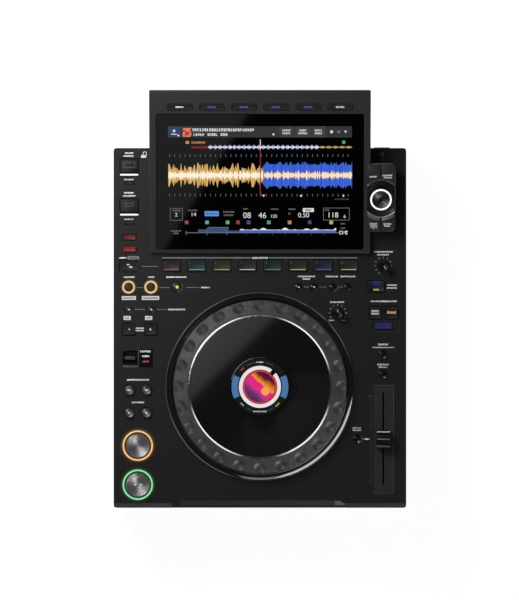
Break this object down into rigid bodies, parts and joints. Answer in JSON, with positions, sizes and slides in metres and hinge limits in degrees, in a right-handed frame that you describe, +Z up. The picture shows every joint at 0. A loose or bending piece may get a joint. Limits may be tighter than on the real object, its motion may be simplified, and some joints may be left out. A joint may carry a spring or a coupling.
{
  "type": "tabletop dj media player",
  "caption": "Flat black player with a large jog wheel, a tilted touch display, performance pads, transport keys, knobs and a tempo slider.",
  "frame": {"origin": "centre of the bounding box in plan, on the table under the feet", "axes": "+X to the player's right, +Y to the rear, +Z up"},
  "size_m": [0.329, 0.4684, 0.1174],
  "materials": {
    "case_plastic": "fine matte grain, near black",
    "housing_plastic": "fine satin grain, near black",
    "key_plastic": "soft matte black",
    "pad_plastic": "translucent rubber, lit from below",
    "lit_plastic": "clear ring lit from below",
    "screen_glass": "polished black glass over a lit panel",
    "window_plastic": "polished black window",
    "rim_plastic": "speckled satin grey",
    "spun_metal": "spun, radial highlights",
    "trim_gloss": "polished black trim",
    "print": "pale printed marks",
    "foot_rubber": "matte black rubber"
  },
  "bodies": {
    "case": {"lower_case": "case_plastic", "upper_case": "case_plastic", "display_housing": "housing_plastic", "touch_glass": "screen_glass", "jog_display": "window_plastic"},
    "display_key_1": {"display_key_1": "key_plastic"},
    "display_key_2": {"display_key_2": "key_plastic"},
    "display_key_3": {"display_key_3": "key_plastic"},
    "display_key_4": {"display_key_4": "key_plastic"},
    "display_key_5": {"display_key_5": "key_plastic"},
    "display_key_6": {"display_key_6": "key_plastic"},
    "back_key": {"back_key": "key_plastic"},
    "tag_key": {"tag_key": "key_plastic"},
    "shortcut_key_1": {"shortcut_key_1": "key_plastic"},
    "shortcut_key_2": {"shortcut_key_2": "key_plastic"},
    "selector_shaft": {"selector_shaft": "spun_metal"},
    "selector_knob": {"selector_knob": "spun_metal"},
    "jog_wheel": {"jog_wheel": "rim_plastic"},
    "call_key": {"call_key": "key_plastic"},
    "time_mode_key": {"time_mode_key": "key_plastic"},
    "quantize_key": {"quantize_key": "key_plastic"},
    "beat_jump_back_key": {"beat_jump_back_key": "key_plastic"},
    "beat_jump_forward_key": {"beat_jump_forward_key": "key_plastic"},
    "jog_mode_key": {"jog_mode_key": "key_plastic"},
    "beat_sync_key": {"beat_sync_key": "key_plastic"},
    "master_key": {"master_key": "key_plastic"},
    "key_sync_key": {"key_sync_key": "key_plastic"},
    "hot_cue_key_1": {"hot_cue_key_1": "pad_plastic"},
    "hot_cue_key_2": {"hot_cue_key_2": "pad_plastic"},
    "hot_cue_key_3": {"hot_cue_key_3": "pad_plastic"},
    "hot_cue_key_4": {"hot_cue_key_4": "pad_plastic"},
    "hot_cue_key_5": {"hot_cue_key_5": "pad_plastic"},
    "hot_cue_key_6": {"hot_cue_key_6": "pad_plastic"},
    "hot_cue_key_7": {"hot_cue_key_7": "pad_plastic"},
    "hot_cue_key_8": {"hot_cue_key_8": "pad_plastic"},
    "track_search_back_key": {"track_search_back_key": "key_plastic"},
    "track_search_forward_key": {"track_search_forward_key": "key_plastic"},
    "search_back_key": {"search_back_key": "key_plastic"},
    "search_forward_key": {"search_forward_key": "key_plastic"},
    "beat_loop_back_key": {"beat_loop_back_key": "key_plastic"},
    "beat_loop_forward_key": {"beat_loop_forward_key": "key_plastic"},
    "reloop_key": {"reloop_key": "key_plastic"},
    "cue_call_back_key": {"cue_call_back_key": "key_plastic"},
    "cue_call_forward_key": {"cue_call_forward_key": "key_plastic"},
    "delete_key": {"delete_key": "key_plastic"},
    "memory_key": {"memory_key": "key_plastic"},
    "master_tempo_key": {"master_tempo_key": "key_plastic"},
    "tempo_range_key": {"tempo_range_key": "key_plastic"},
    "tempo_reset_key": {"tempo_reset_key": "key_plastic"},
    "play_key": {"play_key": "spun_metal"},
    "cue_key": {"cue_key": "spun_metal"},
    "loop_in_key": {"loop_in_key": "lit_plastic"},
    "loop_out_key": {"loop_out_key": "lit_plastic"},
    "vinyl_speed_knob": {"vinyl_speed_knob": "key_plastic"},
    "jog_feel_knob": {"jog_feel_knob": "key_plastic"},
    "tempo_slider_cap": {"tempo_slider_cap": "key_plastic"},
    "direction_lever": {"direction_lever": "key_plastic"},
    "port_lid_1": {"port_lid_1": "case_plastic"},
    "port_lid_2": {"port_lid_2": "case_plastic"},
    "power_key": {"power_key": "key_plastic"}
  },
  "joints": [
    {"name": "jog_spin", "type": "hinge", "parent": "case", "child": "jog_wheel", "pos_m": [0, -0.09785, 0.076], "axis": [0, 0, 1], "continuous": true},
    {"name": "tempo_slide", "type": "slide", "parent": "case", "child": "tempo_slider_cap", "axis": [0, 1, 0], "range_m": [-0.048, 0.048]},
    {"name": "play_press", "type": "slide", "parent": "case", "child": "play_key", "axis": [0, 0, -1], "range_m": [0, 0.0015], "stiffness_N_per_m": 600, "springref_m": -0.001},
    {"name": "cue_press", "type": "slide", "parent": "case", "child": "cue_key", "axis": [0, 0, -1], "range_m": [0, 0.0015], "stiffness_N_per_m": 600, "springref_m": -0.001},
    {"name": "port_lid_1_hinge", "type": "hinge", "parent": "case", "child": "port_lid_1", "pos_m": [-0.1469, 0.15695, 0.0752], "axis": [-1, 0, 0], "range_deg": [0, 95]},
    {"name": "port_lid_2_hinge", "type": "hinge", "parent": "case", "child": "port_lid_2", "pos_m": [-0.1469, 0.11215, 0.0752], "axis": [-1, 0, 0], "range_deg": [0, 95]},
    {"name": "selector_press", "type": "slide", "parent": "case", "child": "selector_shaft", "axis": [0, 0.2018, -0.9794], "range_m": [0, 0.001], "stiffness_N_per_m": 600, "springref_m": -0.0006},
    {"name": "selector_turn", "type": "hinge", "parent": "selector_shaft", "child": "selector_knob", "pos_m": [0.1354, 0.11395, 0.09323], "axis": [0, -0.2018, 0.9794], "continuous": true},
    {"name": "direction_tilt", "type": "hinge", "parent": "case", "child": "direction_lever", "pos_m": [-0.14585, -0.0655, 0.07], "axis": [1, 0, 0], "range_deg": [-14, 14]},
    {"name": "vinyl_speed_turn", "type": "hinge", "parent": "case", "child": "vinyl_speed_knob", "pos_m": [0.1386, 0.03805, 0.076], "axis": [0, 0, 1], "range_deg": [-135, 135]},
    {"name": "jog_feel_turn", "type": "hinge", "parent": "case", "child": "jog_feel_knob", "pos_m": [0.0874, -0.01505, 0.076], "axis": [0, 0, 1], "range_deg": [-135, 135]},
    {"name": "hot_cue_1_press", "type": "slide", "parent": "case", "child": "hot_cue_key_1", "axis": [0, 0, -1], "range_m": [0, 0.001], "stiffness_N_per_m": 300, "springref_m": -0.0005},
    {"name": "display_1_press", "type": "slide", "parent": "case", "child": "display_key_1", "axis": [0, 0.2018, -0.9794], "range_m": [0, 0.001], "stiffness_N_per_m": 300, "springref_m": -0.0005},
    {"name": "back_press", "type": "slide", "parent": "case", "child": "back_key", "axis": [0, 0.2018, -0.9794], "range_m": [0, 0.001], "stiffness_N_per_m": 300, "springref_m": -0.0005},
    {"name": "loop_in_press", "type": "slide", "parent": "case", "child": "loop_in_key", "axis": [0, 0, -1], "range_m": [0, 0.001], "stiffness_N_per_m": 300, "springref_m": -0.0005},
    {"name": "call_press", "type": "slide", "parent": "case", "child": "call_key", "axis": [0, 0, -1], "range_m": [0, 0.001], "stiffness_N_per_m": 300, "springref_m": -0.0005},
    {"name": "search_back_press", "type": "slide", "parent": "case", "child": "search_back_key", "axis": [0, 0, -1], "range_m": [0, 0.001], "stiffness_N_per_m": 300, "springref_m": -0.0005},
    {"name": "power_press", "type": "slide", "parent": "case", "child": "power_key", "axis": [0, -1, 0], "range_m": [0, 0.001], "stiffness_N_per_m": 300, "springref_m": -0.0005},
    {"name": "display_2_press", "type": "slide", "parent": "case", "child": "display_key_2", "axis": [0, 0.2018, -0.9794], "range_m": [0, 0.001], "stiffness_N_per_m": 300, "springref_m": -0.0005},
    {"name": "display_3_press", "type": "slide", "parent": "case", "child": "display_key_3", "axis": [0, 0.2018, -0.9794], "range_m": [0, 0.001], "stiffness_N_per_m": 300, "springref_m": -0.0005},
    {"name": "display_4_press", "type": "slide", "parent": "case", "child": "display_key_4", "axis": [0, 0.2018, -0.9794], "range_m": [0, 0.001], "stiffness_N_per_m": 300, "springref_m": -0.0005},
    {"name": "display_5_press", "type": "slide", "parent": "case", "child": "display_key_5", "axis": [0, 0.2018, -0.9794], "range_m": [0, 0.001], "stiffness_N_per_m": 300, "springref_m": -0.0005},
    {"name": "display_6_press", "type": "slide", "parent": "case", "child": "display_key_6", "axis": [0, 0.2018, -0.9794], "range_m": [0, 0.001], "stiffness_N_per_m": 300, "springref_m": -0.0005},
    {"name": "tag_press", "type": "slide", "parent": "case", "child": "tag_key", "axis": [0, 0.2018, -0.9794], "range_m": [0, 0.001], "stiffness_N_per_m": 300, "springref_m": -0.0005},
    {"name": "shortcut_1_press", "type": "slide", "parent": "case", "child": "shortcut_key_1", "axis": [0, 0.2018, -0.9794], "range_m": [0, 0.001], "stiffness_N_per_m": 300, "springref_m": -0.0005},
    {"name": "shortcut_2_press", "type": "slide", "parent": "case", "child": "shortcut_key_2", "axis": [0, 0.2018, -0.9794], "range_m": [0, 0.001], "stiffness_N_per_m": 300, "springref_m": -0.0005},
    {"name": "time_mode_press", "type": "slide", "parent": "case", "child": "time_mode_key", "axis": [0, 0, -1], "range_m": [0, 0.001], "stiffness_N_per_m": 300, "springref_m": -0.0005},
    {"name": "quantize_press", "type": "slide", "parent": "case", "child": "quantize_key", "axis": [0, 0, -1], "range_m": [0, 0.001], "stiffness_N_per_m": 300, "springref_m": -0.0005},
    {"name": "beat_jump_back_press", "type": "slide", "parent": "case", "child": "beat_jump_back_key", "axis": [0, 0, -1], "range_m": [0, 0.001], "stiffness_N_per_m": 300, "springref_m": -0.0005},
    {"name": "beat_jump_forward_press", "type": "slide", "parent": "case", "child": "beat_jump_forward_key", "axis": [0, 0, -1], "range_m": [0, 0.001], "stiffness_N_per_m": 300, "springref_m": -0.0005},
    {"name": "jog_mode_press", "type": "slide", "parent": "case", "child": "jog_mode_key", "axis": [0, 0, -1], "range_m": [0, 0.001], "stiffness_N_per_m": 300, "springref_m": -0.0005},
    {"name": "beat_sync_press", "type": "slide", "parent": "case", "child": "beat_sync_key", "axis": [0, 0, -1], "range_m": [0, 0.001], "stiffness_N_per_m": 300, "springref_m": -0.0005},
    {"name": "master_press", "type": "slide", "parent": "case", "child": "master_key", "axis": [0, 0, -1], "range_m": [0, 0.001], "stiffness_N_per_m": 300, "springref_m": -0.0005},
    {"name": "key_sync_press", "type": "slide", "parent": "case", "child": "key_sync_key", "axis": [0, 0, -1], "range_m": [0, 0.001], "stiffness_N_per_m": 300, "springref_m": -0.0005},
    {"name": "hot_cue_2_press", "type": "slide", "parent": "case", "child": "hot_cue_key_2", "axis": [0, 0, -1], "range_m": [0, 0.001], "stiffness_N_per_m": 300, "springref_m": -0.0005},
    {"name": "hot_cue_3_press", "type": "slide", "parent": "case", "child": "hot_cue_key_3", "axis": [0, 0, -1], "range_m": [0, 0.001], "stiffness_N_per_m": 300, "springref_m": -0.0005},
    {"name": "hot_cue_4_press", "type": "slide", "parent": "case", "child": "hot_cue_key_4", "axis": [0, 0, -1], "range_m": [0, 0.001], "stiffness_N_per_m": 300, "springref_m": -0.0005},
    {"name": "hot_cue_5_press", "type": "slide", "parent": "case", "child": "hot_cue_key_5", "axis": [0, 0, -1], "range_m": [0, 0.001], "stiffness_N_per_m": 300, "springref_m": -0.0005},
    {"name": "hot_cue_6_press", "type": "slide", "parent": "case", "child": "hot_cue_key_6", "axis": [0, 0, -1], "range_m": [0, 0.001], "stiffness_N_per_m": 300, "springref_m": -0.0005},
    {"name": "hot_cue_7_press", "type": "slide", "parent": "case", "child": "hot_cue_key_7", "axis": [0, 0, -1], "range_m": [0, 0.001], "stiffness_N_per_m": 300, "springref_m": -0.0005},
    {"name": "hot_cue_8_press", "type": "slide", "parent": "case", "child": "hot_cue_key_8", "axis": [0, 0, -1], "range_m": [0, 0.001], "stiffness_N_per_m": 300, "springref_m": -0.0005},
    {"name": "track_search_back_press", "type": "slide", "parent": "case", "child": "track_search_back_key", "axis": [0, 0, -1], "range_m": [0, 0.001], "stiffness_N_per_m": 300, "springref_m": -0.0005},
    {"name": "track_search_forward_press", "type": "slide", "parent": "case", "child": "track_search_forward_key", "axis": [0, 0, -1], "range_m": [0, 0.001], "stiffness_N_per_m": 300, "springref_m": -0.0005},
    {"name": "search_forward_press", "type": "slide", "parent": "case", "child": "search_forward_key", "axis": [0, 0, -1], "range_m": [0, 0.001], "stiffness_N_per_m": 300, "springref_m": -0.0005},
    {"name": "beat_loop_back_press", "type": "slide", "parent": "case", "child": "beat_loop_back_key", "axis": [0, 0, -1], "range_m": [0, 0.001], "stiffness_N_per_m": 300, "springref_m": -0.0005},
    {"name": "beat_loop_forward_press", "type": "slide", "parent": "case", "child": "beat_loop_forward_key", "axis": [0, 0, -1], "range_m": [0, 0.001], "stiffness_N_per_m": 300, "springref_m": -0.0005},
    {"name": "reloop_press", "type": "slide", "parent": "case", "child": "reloop_key", "axis": [0, 0, -1], "range_m": [0, 0.001], "stiffness_N_per_m": 300, "springref_m": -0.0005},
    {"name": "cue_call_back_press", "type": "slide", "parent": "case", "child": "cue_call_back_key", "axis": [0, 0, -1], "range_m": [0, 0.001], "stiffness_N_per_m": 300, "springref_m": -0.0005},
    {"name": "cue_call_forward_press", "type": "slide", "parent": "case", "child": "cue_call_forward_key", "axis": [0, 0, -1], "range_m": [0, 0.001], "stiffness_N_per_m": 300, "springref_m": -0.0005},
    {"name": "delete_press", "type": "slide", "parent": "case", "child": "delete_key", "axis": [0, 0, -1], "range_m": [0, 0.001], "stiffness_N_per_m": 300, "springref_m": -0.0005},
    {"name": "memory_press", "type": "slide", "parent": "case", "child": "memory_key", "axis": [0, 0, -1], "range_m": [0, 0.001], "stiffness_N_per_m": 300, "springref_m": -0.0005},
    {"name": "master_tempo_press", "type": "slide", "parent": "case", "child": "master_tempo_key", "axis": [0, 0, -1], "range_m": [0, 0.001], "stiffness_N_per_m": 300, "springref_m": -0.0005},
    {"name": "tempo_range_press", "type": "slide", "parent": "case", "child": "tempo_range_key", "axis": [0, 0, -1], "range_m": [0, 0.001], "stiffness_N_per_m": 300, "springref_m": -0.0005},
    {"name": "tempo_reset_press", "type": "slide", "parent": "case", "child": "tempo_reset_key", "axis": [0, 0, -1], "range_m": [0, 0.001], "stiffness_N_per_m": 300, "springref_m": -0.0005},
    {"name": "loop_out_press", "type": "slide", "parent": "case", "child": "loop_out_key", "axis": [0, 0, -1], "range_m": [0, 0.001], "stiffness_N_per_m": 300, "springref_m": -0.0005}
  ]
}
